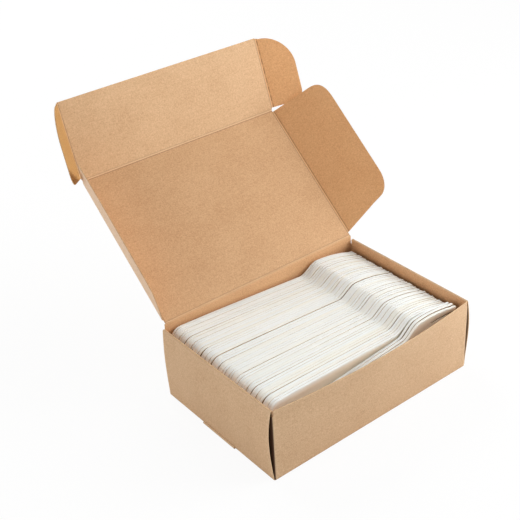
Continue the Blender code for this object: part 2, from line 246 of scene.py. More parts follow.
@dataclass(frozen=True)
class PulpFinish:
    """Pressed bagasse: warm white edges and beige faces, with painted shade between forks, tan in
    tight gaps and brown in open ones.
    """

    name: str
    edge: Colour
    cream: Colour
    face: Colour
    # Painted shade colours for tight and open gaps between forks.
    tight: Colour
    deep: Colour
    roughness: float = 0.72

    def material(self) -> bpy.types.Material:
        """Return the pulp's material.

        The face attribute takes the colour from the edge's white to the face's beige. Painted shade
        between the forks, set by the hidden attribute, takes it on to tan up to one half and then
        to brown, the tone attribute warms single forks, and streaks along the fork with fine noise
        give the matt fibre look.
        """
        graph = Graph(bpy.data.materials.new(self.name))
        where = graph.coordinates()
        grain = graph.noise(where, 1700.0, 3.0, 0.6)
        streak = graph.noise(graph.coordinates((0.04, 1.0, 1.0)), 700.0)
        warm = graph.attribute("tone") * 0.9 + (streak - 0.5) * 0.9
        white = graph.mix(warm, paint(self.edge), paint(self.cream))
        faced = graph.mix(graph.attribute("face"), white, paint(self.face))
        # Painted shade between the forks: tan where tight, brown where open.
        hidden = graph.attribute("hidden")
        tight_gap_shaded = graph.mix(hidden.ramp(0.0, 0.5), faced, paint(self.tight))
        colour = graph.mix(hidden.ramp(0.5, 1.0), tight_gap_shaded, paint(self.deep))
        shaded = graph.shade(colour, (grain - 0.5) * 0.03 + (streak - 0.5) * 0.04 + 1.0)
        rough = grain * 0.2 + (self.roughness - 0.1)
        normal = graph.bump(grain, 0.12, 0.02 * MM)
        return graph.finish(shaded, rough, normal, 0.3)


# ---- meshes ----


@dataclass
class Shell:
    """A closed skin: points, quads, the kind of each quad and point attributes."""

    points: Array
    quads: Array
    kinds: Array
    values: dict[str, Array]

    def joined(self, others: Iterable["Shell"]) -> "Shell":
        """Join this shell and others, with the numbering of the points carried on.

        Args:
            others: Shells with the same attributes.

        Returns:
            One shell.
        """
        shells = [self, *others]
        starts = np.cumsum([0] + [len(s.points) for s in shells[:-1]])
        return Shell(
            np.concatenate([s.points for s in shells]),
            np.concatenate([s.quads + start for s, start in zip(shells, starts)]),
            np.concatenate([s.kinds for s in shells]),
            {key: np.concatenate([s.values[key] for s in shells]) for key in self.values},
        )


def as_points(x: Array | float, y: Array | float, z: Array | float) -> Array:
    """Return three grids of coordinates, stretched to one shape, as one grid of points."""
    return np.stack(np.broadcast_arrays(x, y, z), -1)


def make_shell(front: Array, back: Array, values: dict[str, Array | float] | None = None,
               keep: Array | None = None, back_values: dict[str, Array] | None = None) -> Shell:
    """Close the space between two matching grids.

    Each kept cell gives a front quad and a back quad. A wall closes each side of a kept cell that
    has no kept neighbour. The signed volume then turns the quads outwards.

    Args:
        front: Points of one face, columns by rows by 3.
        back: Points of the other face, in the same order.
        values: Point attributes of both faces, columns by rows or one number.
        keep: Cells that exist, all of them when it is None.
        back_values: Those attributes that differ on the back face.

    Returns:
        The closed shell, with kind 0 on front quads, 1 on back quads and 2 on walls.
    """
    columns, rows = front.shape[:2]
    count = columns * rows
    index = np.arange(count).reshape(columns, rows)
    cells = np.ones((columns - 1, rows - 1), bool) if keep is None else keep
    padded = np.pad(cells, 1)
    a, b, c, d = index[:-1, :-1], index[1:, :-1], index[1:, 1:], index[:-1, 1:]
    faces = np.stack([a, b, c, d], -1)[cells]
    walls = []
    for u, v, gone in ((a, b, padded[1:-1, :-2]), (b, c, padded[2:, 1:-1]),
                       (c, d, padded[1:-1, 2:]), (d, a, padded[:-2, 1:-1])):
        rim = cells & ~gone
        walls.append(np.stack([v, u, u + count, v + count], -1)[rim])
    wall = np.concatenate(walls)
    quads = np.concatenate([faces, faces[:, ::-1] + count, wall])
    kinds = np.repeat([0, 1, 2], [len(faces), len(faces), len(wall)])
    points = np.concatenate([front.reshape(-1, 3), back.reshape(-1, 3)])
    used, renumbered = np.unique(quads, return_inverse=True)
    quads = renumbered.reshape(quads.shape)
    points = points[used]
    shape = (columns, rows)
    both = {}
    for key, value in (values or {}).items():
        other = (back_values or {}).get(key, value)
        pair = [np.broadcast_to(value, shape).ravel(), np.broadcast_to(other, shape).ravel()]
        both[key] = np.concatenate(pair)[used]
    p = points[quads]
    across = np.cross(p[:, 2] - p[:, 0], p[:, 3] - p[:, 1])
    volume = float(np.sum(p.mean(1) * across))
    return Shell(points, quads if volume > 0 else quads[:, ::-1], kinds, both)


def make_object(name: str, shell: Shell, materials: list[bpy.types.Material],
                sharp_degrees: float = 40.0) -> bpy.types.Object:
    """Put a shell in the scene as one object at the origin.

    Args:
        name: The piece's name.
        shell: Its skin.
        materials: One material for each kind of quad, or one for all.
        sharp_degrees: The angle past which an edge stays sharp.

    Returns:
        The new object.
    """
    mesh = bpy.data.meshes.new(name)
    mesh.from_pydata(shell.points.tolist(), [], shell.quads.tolist())
    for material in materials:
        mesh.materials.append(material)
    slots = np.minimum(shell.kinds, len(materials) - 1).astype(np.int32)
    mesh.polygons.foreach_set("material_index", slots)
    mesh.polygons.foreach_set("use_smooth", np.ones(len(shell.quads), bool))
    mesh.set_sharp_from_angle(angle=math.radians(sharp_degrees))
    for key, value in shell.values.items():
        layer = mesh.attributes.new(key, "FLOAT", "POINT")
        layer.data.foreach_set("value", value.astype(np.float32))
    mesh.update()
    piece = bpy.data.objects.new(name, mesh)
    bpy.context.scene.collection.objects.link(piece)
    return piece


def place_piece(piece: bpy.types.Object, body: str, nodes: Iterable[str]) -> None:
    """Let a piece ride on its body and stand for its solids.

    Args:
        piece: The piece.
        body: The body it moves with.
        nodes: The solids that it takes the place of.
    """
    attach(piece, body)
    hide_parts(*nodes)
    LOG.info("%s rides on %s with %d faces", piece.name, body, len(piece.data.polygons))


def smooth(x: Array) -> Array:
    """Return the smooth step 3x^2 - 2x^3 of x held between 0 and 1."""
    t = np.clip(x, 0.0, 1.0)
    return t * t * (3.0 - 2.0 * t)


def hump(x: Array, centre: float, width: float) -> Array:
    """Return a bell of height 1 at centre that has fallen to 1/e a width away."""
    return np.exp(-(((x - centre) / width) ** 2))


def warp(a: Array, b: Array, seed: int, reach: float = 60.0 * MM) -> Array:
    """Work out gentle waves: the mean of four sines with seeded directions, lengths and starts.

    Args:
        a: One coordinate.
        b: The other coordinate.
        seed: Seeds the directions, the lengths and the starts.
        reach: The middle length of a wave, about.

    Returns:
        Heights between -1 and 1.
    """
    draw = random.Random(seed)
    total = np.zeros(np.broadcast(a, b).shape)
    for _ in range(4):
        turn = draw.uniform(0.0, math.tau)
        pace = math.tau / (reach * draw.uniform(0.8, 1.9))
        start = draw.uniform(0.0, math.tau)
        total = total + np.sin(pace * (a * math.cos(turn) + b * math.sin(turn)) + start)
    return total / 4.0


def stops(low: float, high: float, count: int, near_low: Iterable[float] = (),
          near_high: Iterable[float] = ()) -> Array:
    """Work out positions from low to high: even steps, with set ones near the ends.

    Args:
        low: The first position.
        high: The last position.
        count: How many evenly spaced positions fill the room between the set ones.
        near_low: Distances of the set ones from low.
        near_high: Distances of the set ones from high.

    Returns:
        The sorted positions, each once.
    """
    starts = [low + gap for gap in near_low]
    ends = [high - gap for gap in near_high]
    even = np.linspace(max([low, *starts]), min([high, *ends]), count)
    return np.unique(np.round(np.concatenate([[low, high], starts, ends, even]), 8))


# ---- board ----

BEAD_RADIUS = 0.42 * MM
BEAD_ROWS = (-BEAD_RADIUS, -0.38 * MM, -0.28 * MM, -0.12 * MM)
CREASE_ROWS = tuple(gap * MM for gap in (0.12, 0.25, 0.40, 0.60, 0.85, 1.15, 1.6, 2.4))
END_ROWS = (0.3 * MM, 0.8 * MM, 2.0 * MM)
EDGE_GAP = 0.36 * MM


@dataclass
class BoardFinishes:
    """The three finishes of one blank: its inside, its outside and its cut edge."""

    inside: bpy.types.Material
    outside: bpy.types.Material
    cut: bpy.types.Material

    def listed(self) -> list[bpy.types.Material]:
        """Return the materials in the order of the kinds of quad."""
        return [self.inside, self.outside, self.cut]

    def dress(self, node: str, shell: Shell, body: str, slot: str) -> None:
        """Make the board piece that stands for one solid of the lid."""
        piece = make_object(f"{node}_board", shell, self.listed())
        place_piece(piece, body, [node])


@dataclass
class Plane:
    """The plane of a flat panel: a point on its crease and three unit directions."""

    origin: Array
    along: Array
    out: Array
    inward: Array

    def at(self, s: Array, r: Array, lift: Array) -> Array:
        """Return the points at s along the crease, r out from it and lift to the inside."""
        return self.origin + as_points(s, r, lift) @ np.stack([self.along, self.out, self.inward])

    def plate(self, s: Array, r: Array, lift: Array, half: Array,
              values: dict[str, Array]) -> Shell:
        """Return a closed plate that reaches half to each side of the points at s, r and lift."""
        return make_shell(self.at(s, r, lift + half), self.at(s, r, lift - half), values)


def own_crease(r: Array) -> tuple[Array, Array, Array]:
    """Work out a panel's half thickness, painted shade and painted highlight near the crease it
    turns on.

    The edge is a round bead about the crease line: half a circle of BEAD_RADIUS up to the line.
    Past it the board is pressed thin in a groove and swells back to its thickness.

    Args:
        r: Distances out from the crease.

    Returns:
        The half thickness, the painted shade beside the bead and the painted highlight on it at r.
    """
    bead = np.sqrt(np.maximum(BEAD_RADIUS**2 - np.minimum(np.abs(r), BEAD_RADIUS) ** 2, 0.0))
    pressed = BOARD / 2 * (1.0 - 0.35 * hump(r, 0.7 * MM, 0.32 * MM))
    half = np.where(r < BEAD_RADIUS * 0.8, np.maximum(bead, 0.03 * MM), pressed)
    return half, 0.36 * hump(r, 0.90 * MM, 0.26 * MM), 0.8 * hump(r, 0.0, 0.42 * MM)


def next_crease(gap: Array) -> tuple[Array, Array]:
    """Work out the thinning and the painted shade of a panel near the crease another panel turns
    on.
    """
    return 0.35 * hump(gap, 0.6 * MM, 0.35 * MM), 0.50 * hump(gap, 0.80 * MM, 0.26 * MM)


@dataclass(frozen=True)
class Corner:
    """A rounded corner of a flap, between its side edge and its free edge.

    The straight side edge ends at edge_s along the crease and edge_r out from it. The straight free
    edge starts at flat_s. Between them runs a quarter of a superellipse of the given power.
    """

    edge_s: float
    edge_r: float
    flat_s: float
    power: float

    def points(self, depth: float) -> Array:
        """Work out the corner from its side edge to its free edge.

        Args:
            depth: The free edge's distance from the crease.

        Returns:
            Points (s, r).
        """
        turn = np.linspace(0.0, math.pi / 2, 40)
        s = self.flat_s + (self.edge_s - self.flat_s) * np.cos(turn).clip(0.0) ** (2.0 / self.power)
        r = self.edge_r + (depth - self.edge_r) * np.sin(turn) ** (2.0 / self.power)
        return np.stack([s, r], -1)


@dataclass
class Flap:
    """A side flap or a tuck ear: a plate with rounded corners on one crease.

    It spans start to end on its crease. Its free edge bends inwards by curl. The crease is dashed
    with stitches of the length given by dashes, or plain where that is zero.
    """

    name: str
    body: str
    plane: Plane
    depth: float
    start: float
    end: float
    near: Corner
    far: Corner
    curl: float
    seed: int
    dashes: float = 0.0
    columns: int = 72
    rows: int = 20
    crease_shade: float = 1.7
    unevenness: float = 0.25 * MM

    def outline(self) -> Array:
        """Work out the free edge.

        Returns:
            Points (s, r), evenly spaced along the edge.
        """
        path = np.concatenate([self.near.points(self.depth), self.far.points(self.depth)[::-1]])
        run = np.concatenate([[0.0], np.cumsum(np.linalg.norm(np.diff(path, axis=0), axis=1))])
        steps = np.linspace(0.0, run[-1], self.columns)
        return np.stack([np.interp(steps, run, path[:, 0]), np.interp(steps, run, path[:, 1])], -1)

    def build(self, finishes: BoardFinishes) -> None:
        """Build the flap as a ruled plate from its crease to its free edge.

        The rows near the crease lie at set distances from it. Past them each column runs straight
        to its point of the outline. The plate curls inwards with the square of the distance.

        Args:
            finishes: The finishes of its board.
        """
        edge = self.outline()
        edge_s, edge_r = edge[:, :1], edge[:, 1:]
        crease = np.linspace(self.start, self.end, self.columns)[:, None]
        near = np.array([*BEAD_ROWS, 0.0, *CREASE_ROWS])
        r_far = near[-1] + (edge_r - near[-1]) * np.linspace(0.0, 1.0, self.rows)[1:]
        r = np.concatenate([np.repeat(near[None], self.columns, 0), r_far], 1)
        out = np.maximum(r, 0.0)
        s = crease + (edge_s - crease) * out / edge_r
        # Painted shade beside the crease, in dashes where it is stitched, and a painted highlight
        # on its bead.
        half, dark, pale = own_crease(r)
        dark = dark * self.crease_shade
        if self.dashes:
            dark = dark * np.where(np.sin(s * math.tau / self.dashes) > -0.2, 1.5, 0.6)
        settle = smooth((r - 3.0 * MM) / (12.0 * MM))
        lift = self.curl * (out / self.depth) ** 2
        lift = lift + self.unevenness * settle * warp(s, r, self.seed)
        shell = self.plane.plate(s, r, lift, half, {"crease": dark, "ridge": pale})
        finishes.dress(self.name, shell, self.body, "kraft_flap")


@dataclass
class Panel:
    """The lid or the tuck flap: a rectangle between its own crease and its neighbours' creases.

    Its half width is crease_half on its crease and half past the first 2 mm. A further panel turns
    on its far edge where next_panel is set.
    """

    name: str
    body: str
    slot: str
    plane: Plane
    half: float
    crease_half: float
    length: float
    next_panel: bool
    seed: int
    columns: int = 60
    rows: int = 44
    widening: float = 2.0 * MM
    settling: float = 20.0 * MM
    unevenness: float = 0.35 * MM
    wave_reach: float = 110.0 * MM

    def build(self, finishes: BoardFinishes) -> None:
        """Build the panel on a grid that is finer near its creases.

        Its thickness and shade are those of its own crease and of the creases that its neighbours
        turn on. It waves gently away from its edges.

        Args:
            finishes: The finishes of its board.
        """
        side = self.half - EDGE_GAP
        crease_side = self.crease_half - EDGE_GAP
        far = self.length - (EDGE_GAP if self.next_panel else 0.0)
        far_rows = CREASE_ROWS if self.next_panel else (0.3 * MM,)
        across = stops(-side, side, self.columns, CREASE_ROWS, CREASE_ROWS)
        down = np.concatenate([BEAD_ROWS, stops(0.0, far, self.rows, CREASE_ROWS, far_rows)])
        s, r = np.meshgrid(across, down, indexing="ij")
        width = crease_side + (side - crease_side) * np.clip(r / self.widening, 0.0, 1.0)
        s = s * width / side
        to_side = side - np.abs(s)
        # Painted shade beside its own crease and its neighbours' creases, and a painted highlight
        # on its bead.
        half, dark, pale = own_crease(r)
        thin, shadow = next_crease(to_side + EDGE_GAP)
        if self.next_panel:
            far_thin, far_shadow = next_crease(far - r + EDGE_GAP)
            thin, shadow = np.maximum(thin, far_thin), np.maximum(shadow, far_shadow)
        settle = smooth(np.minimum(np.minimum(r, far - r), to_side) / self.settling)
        lift = self.unevenness * settle * warp(s, r, self.seed, self.wave_reach)
        values = {"crease": np.maximum(dark, shadow), "ridge": pale}
        shell = self.plane.plate(s, r, lift, half * (1.0 - thin), values)
        finishes.dress(self.name, shell, self.body, self.slot)


@dataclass
class Lid:
    """The lid with its tuck flap, side flaps and ears, on the frame's joints.

    Each pair of angles says how far the left and the right flap or ear are folded in.
    """

    board: BoardFinishes
    tuck_board: BoardFinishes
    flap_board: BoardFinishes
    ear_board: BoardFinishes
    flap_angles: tuple[float, float] = (math.radians(70.0), math.radians(38.0))
    ear_angles: tuple[float, float] = (math.radians(53.0), math.radians(28.0))
    flap_depth: float = 43.6 * MM
    flap_curl: float = 0.6 * MM
    ear_depth: float = 25.3 * MM
    ear_curl: float = 0.3 * MM
    ear_stitch: float = 7.0 * MM

    def place(self, joint: str) -> Array:
        """Return a point on a joint's axis."""
        return np.array(JOINTS[joint]["pos_m"], float)

    def axis(self, joint: str) -> Array:
        """Return a joint's axis as a unit vector."""
        line = np.array(JOINTS[joint]["axis"], float)
        return line / np.linalg.norm(line)

    def fold(self, joint: str, side: Side, angle: float, flat: Plane) -> Plane:
        """Turn a flap's plane in from the panel it hangs on.

        Args:
            joint: The joint on its crease.
            side: The side of the box that it hangs on.
            angle: How far it is folded in.
            flat: The plane of the panel.

        Returns:
            The plane of the flap.
        """
        outward = X_AXIS * side.value
        out = math.cos(angle) * outward + math.sin(angle) * flat.inward
        inward = math.cos(angle) * flat.inward - math.sin(angle) * outward
        return Plane(self.place(joint), flat.out, out, inward)

    def side_flap(self, side: Side, plane: Plane) -> None:
        """Build one side flap of the lid in its plane."""
        near = Corner(edge_s=12.4 * MM, edge_r=32.0 * MM, flat_s=30.0 * MM, power=2.1)
        far = Corner(edge_s=LID_LENGTH - 1.2 * MM, edge_r=31.0 * MM, flat_s=92.0 * MM, power=3.0)
        Flap(f"side_flap_{side.word}", f"flap_{side.word}", plane, self.flap_depth,
             2.8 * MM, LID_LENGTH - 1.5 * MM, near, far, curl=self.flap_curl * side.value,
             seed=11 + side.value).build(self.flap_board)

    def tuck_ear(self, side: Side, plane: Plane) -> None:
        """Build one ear of the tuck flap in its plane."""
        near = Corner(edge_s=2.0 * MM, edge_r=18.0 * MM, flat_s=10.0 * MM, power=2.0)
        far = Corner(edge_s=TUCK_LENGTH - 1.3 * MM, edge_r=2.6 * MM, flat_s=30.0 * MM, power=1.86)
        Flap(f"tuck_ear_{side.word}", f"ear_{side.word}", plane, self.ear_depth,
             1.8 * MM, TUCK_LENGTH - 0.4 * MM, near, far, curl=self.ear_curl, seed=17 + side.value,
             dashes=self.ear_stitch).build(self.ear_board if side is Side.LEFT else self.flap_board)

    def build(self) -> None:
        """Build the lid and the tuck flap, then what hangs on their sides."""
        down, further = self.axis("flap_left_hinge"), self.axis("ear_left_hinge")
        lid = Plane(self.place("lid_hinge"), X_AXIS, down, np.cross(X_AXIS, down))
        tuck = Plane(self.place("tuck_hinge"), X_AXIS, further, np.cross(X_AXIS, further))
        Panel("lid_panel", "lid", "kraft_board", lid, half=LID_HALF, crease_half=LID_HALF,
              length=LID_LENGTH, next_panel=True, seed=3).build(self.board)
        Panel("tuck_flap", "tuck", "kraft_flap", tuck, half=TUCK_HALF, crease_half=LID_HALF,
              length=TUCK_LENGTH, next_panel=False, seed=8).build(self.tuck_board)
        for side, angle in zip(Side, self.flap_angles):
            self.side_flap(side, self.fold(f"flap_{side.word}_hinge", side, angle, lid))
        for side, angle in zip(Side, self.ear_angles):
            self.tuck_ear(side, self.fold(f"ear_{side.word}_hinge", side, angle, tuck))


@dataclass
class Tray:
    """The folded tray: floor, end walls with their ears, rolled side walls and lock lips."""

    board: BoardFinishes
    ear_x: float = LENGTH / 2 - ROLL_WIDTH / 2
    fold_radius: float = 1.0 * MM
    ear_height: float = HEIGHT - 4.0 * MM
    ear_length: float = WIDTH * 0.44
    wall_wave: float = 0.3 * MM
    side_wave: float = 0.25 * MM
    side_setback: float = 0.9 * MM
    front_bow: float = 5.3 * MM
    bulge_back: float = 1.0 * MM
    bulge_front: float = 2.6 * MM
    foot_radius: float = 0.7 * MM
    lip_length: float = 33.0 * MM
    lip_middle: float = -0.5 * MM
    lip_reach: float = 1.2 * MM
    lip_height: float = 1.8 * MM
    lip_root: float = 0.3 * MM

    def dress(self, name: str, shell: Shell, finishes: list[bpy.types.Material]) -> None:
        """Make one piece of the tray."""
        place_piece(make_object(name, shell, finishes), "tray", ["tray"])

    def thicken(self, middle: Array, values: dict[str, Array], flip: float) -> Shell:
        """Give a bent sheet its thickness along the cross product of its two tangents.

        Args:
            middle: The sheet's middle surface, columns by rows by 3.
            values: Point attributes of both faces.
            flip: 1 or -1, for the side of the front face.

        Returns:
            The closed sheet.
        """
        normal = np.cross(np.gradient(middle, axis=0), np.gradient(middle, axis=1))
        step = normal / np.linalg.norm(normal, axis=-1, keepdims=True) * flip * (BOARD / 2)
        return make_shell(middle + step, middle - step, values)

    def foot(self, wall: float) -> tuple[Array, Array]:
        """Work out a wall's foot, most of a quarter circle from the floor up to the wall.

        Args:
            wall: The wall's distance from the middle of the box.

        Returns:
            The foot's distances from the middle and its heights.
        """
        turn = np.radians(np.linspace(0.0, 80.0, 5))[:-1]
        out = wall - self.foot_radius * (1.0 - np.sin(turn))
        return out, BOARD / 2 + (self.foot_radius - BOARD / 2) * (1.0 - np.cos(turn))

    def end_wall(self, name: str, side: float, high: float, span: float, bow: float,
                 seed: int) -> None:
        """Build the front or back wall with the fold and the ear at each of its ends.

        In plan it runs up one ear, round a quarter circle, along the wall, round a quarter circle
        and down the other ear. The wall leans out by bow times one minus the square of the share of
        the half length, times the share of the height to the power 1.2. Its foot turns in to the
        floor.

        Args:
            name: The piece's name.
            side: 1 for the back wall or -1 for the front wall.
            high: Its height. Its ears are lower.
            span: Half the length that has this height.
            bow: How far it leans out in its middle at the top.
            seed: Seeds its waves.
        """
        wall_y = WIDTH / 2 - BOARD / 2
        radius = self.fold_radius - BOARD / 2
        fold_x, fold_y = self.ear_x - radius, wall_y - radius
        turn = np.radians(np.linspace(0.0, 90.0, 8))
        arc_x, arc_y = fold_x + radius * np.cos(turn), fold_y + radius * np.sin(turn)
        ear_y = np.linspace(fold_y - self.ear_length, fold_y, 12)[:-1]
        ear = np.full(len(ear_y), self.ear_x)
        run = stops(-fold_x, fold_x, 64, CREASE_ROWS, CREASE_ROWS)[1:-1]
        wall = np.full(len(run), wall_y)
        x = np.concatenate([ear, arc_x, run[::-1], -arc_x[::-1], -ear])[:, None]
        y = np.concatenate([ear_y, arc_y, wall, arc_y[::-1], ear_y[::-1]])[:, None]
        rise = np.concatenate([np.linspace(0.0, 0.96, 26), [0.98, 0.992, 1.0]])
        top = np.where(np.abs(x) < span, high, self.ear_height)
        z = self.foot_radius + (top - self.foot_radius) * rise
        lean = bow * np.clip(1.0 - (x / fold_x) ** 2, 0.0, 1.0) * (z / HEIGHT) ** 1.2
        inner = np.clip(1.0 - (np.abs(x) / (self.ear_x - 6.0 * MM)) ** 6, 0.0, 1.0)
        lean = lean + self.wall_wave * inner * smooth(rise * 2.0) * warp(x, z, seed)
        foot_y, foot_z = self.foot(wall_y)
        drop = (wall_y - foot_y) * np.where(np.abs(y - wall_y) < 0.2 * MM, 1.0, 0.0)
        middle = np.concatenate([as_points(x, side * (y - drop), foot_z),
                                 as_points(x, side * (y + lean), z)], 1)
        height = middle[..., 2]
        # Painted highlight along the top edge and on the corner folds; painted shade over the
        # turned ear ends behind the slit and along the foot.
        rim = 0.35 * hump(top - height, 0.0, 0.8 * MM)
        fold = 0.25 * hump(np.abs(x), self.ear_x - radius * 0.5, 1.2 * MM)
        turned = smooth((np.abs(x) - self.ear_x + radius * 0.55) / (radius * 0.4))
        foot_line = 0.12 * hump(height, 0.0, 1.0 * MM)
        values = {"ridge": np.maximum(rim, fold), "crease": np.maximum(turned, foot_line)}
        self.dress(name, self.thicken(middle, values, -side), self.board.listed())

    def side_wall(self, side: Side) -> None:
        """Build one rolled side wall from its foot, over its rim and down to the floor inside.

        The outer panel bulges by 4q(1 - q) times its swell, where q is the share of the height to
        the power 1.4. The swell falls evenly from the front to the back.

        Args:
            side: The end of the box that it stands at.
        """
        radius = ROLL_WIDTH / 2 - BOARD / 2
        rim_z = HEIGHT - ROLL_WIDTH / 2
        half = WIDTH / 2 - self.side_setback
        foot_x, foot_z = self.foot(self.ear_x + radius)
        outer_z = np.linspace(self.foot_radius, rim_z, 30)[:-1]
        turn = np.linspace(0.0, math.pi, 13)
        inner_z = np.linspace(rim_z, BOARD, 14)[1:]
        x = np.concatenate([foot_x, np.full(len(outer_z), self.ear_x + radius),
                            self.ear_x + radius * np.cos(turn),
                            np.full(len(inner_z), self.ear_x - radius)])
        z = np.concatenate([foot_z, outer_z, rim_z + radius * np.sin(turn), inner_z])
        y = stops(-half, half, 46, END_ROWS, END_ROWS)[:, None]
        index = np.arange(len(z))
        rim_from = len(foot_x) + len(outer_z)
        in_from = rim_from + len(turn)
        outer = np.where(index < rim_from, 1.0, 0.0)
        q = np.clip(z / rim_z, 0.0, 1.0) ** 1.4
        swell = self.bulge_front + (self.bulge_back - self.bulge_front) * ((y + half) / (2 * half))
        wave = self.side_wave * smooth((rim_z - z) / (8 * MM)) * smooth(z / (10 * MM)) * outer
        bulge = swell * (4.0 * q * (1.0 - q) * outer) + wave * warp(y, z, 23 + side.value)
        # Painted highlight on the rolled rim, paler front and back ends, and painted shade just
        # under the rim.
        rim = np.where((index >= rim_from) & (index < in_from), 0.12, 0.0)
        edge = np.where(index < in_from, 0.5, 0.0) * hump(half - np.abs(y), 0.0, 0.5 * MM)
        fold = 0.25 * hump(z, rim_z - 0.8 * MM, 0.5 * MM) * np.where(index < in_from, 0.6, 1.0)
        values = {"ridge": np.maximum(rim, edge), "crease": fold}
        shell = self.thicken(as_points(side.value * (x + bulge), y, z), values, -float(side.value))
        # The inner panel is the outer paper turned in, but takes the inside kraft: painted shade
        # and warm bounce.
        reach = np.abs(shell.points[shell.quads][..., 0]).max(1)
        face = np.where(reach > self.ear_x - radius * 0.7, 1, 0)
        shell.kinds = np.where(shell.kinds < 2, face, shell.kinds)
        self.dress(f"side_wall_{side.word}", shell, self.board.listed())

    def lock_lip(self, side: Side) -> None:
        """Build the lip at a side wall's foot: a half round bar with its flat side in.

        Args:
            side: The end of the box that it is at.
        """
        turn = np.radians(np.linspace(-90.0, 90.0, 12))
        x = LENGTH / 2 - self.lip_root + (self.lip_reach + self.lip_root) * np.cos(turn) ** 0.6
        y = (self.lip_middle + np.linspace(-0.5, 0.5, 24) * self.lip_length)[:, None]
        z = self.lip_height / 2 + 0.05 * MM + self.lip_height / 2 * np.sin(turn)
        skin = as_points(side.value * x, y, z)
        back = as_points(side.value * (LENGTH / 2 - 0.4 * MM), y, z)
        shell = make_shell(skin, back, {"ridge": 0.25, "crease": 0.0})
        self.dress(f"lock_lip_{side.word}", shell, [self.board.outside])

    def floor(self) -> None:
        """Build the tray's bottom, from fold to fold."""
        inset = self.foot_radius - 0.1 * MM
        x = np.linspace(-(LENGTH / 2 - inset), LENGTH / 2 - inset, 60)[:, None]
        y = np.linspace(-(WIDTH / 2 - inset), WIDTH / 2 - inset, 40)
        plain = {"ridge": 0.0, "crease": 0.0}
        shell = make_shell(as_points(x, y, BOARD), as_points(x, y, 0.0), plain)
        self.dress("tray_floor", shell, self.board.listed())

    def build(self) -> None:
        """Build every wall of the tray."""
        straight = LENGTH / 2 - self.fold_radius * 2
        notch = LID_HALF + BOARD / 2
        crease_z = float(JOINTS["lid_hinge"]["pos_m"][2])
        self.floor()
        self.end_wall("front_wall", -1.0, HEIGHT, straight, self.front_bow, 31)
        self.end_wall("back_wall", 1.0, crease_z - EDGE_GAP, notch, 0.0, 37)
        for side in Side:
            self.side_wall(side)
            self.lock_lip(side)


# ---- forks ----

LINES = 16
LINE_SHARES = np.array([0.72, 0.56, 0.44, 0.28, 0.06])
RIM_LINES = np.array([0.0, 0.08, 0.3]) * MM
TINE_STEPS = np.array([0.25, 0.5, 0.72, 0.88, 0.96, 1.0])
TIP_STEPS = np.array([2.4, 2.1, 1.7, 0.9, 1.4, 0.7, 0.0, 0.6]) * MM
SLOT_LINES = (4, 5, 7, 8, 10, 11)
SLOT_CELLS = (4, 7, 10)
FORK_LENGTH = 162.0 * MM
# Gives, at x, how far the front and the back face stand out and how much painted shade the gap at
# each gets.
Growth = Callable[[Array], tuple[Array, ...]]


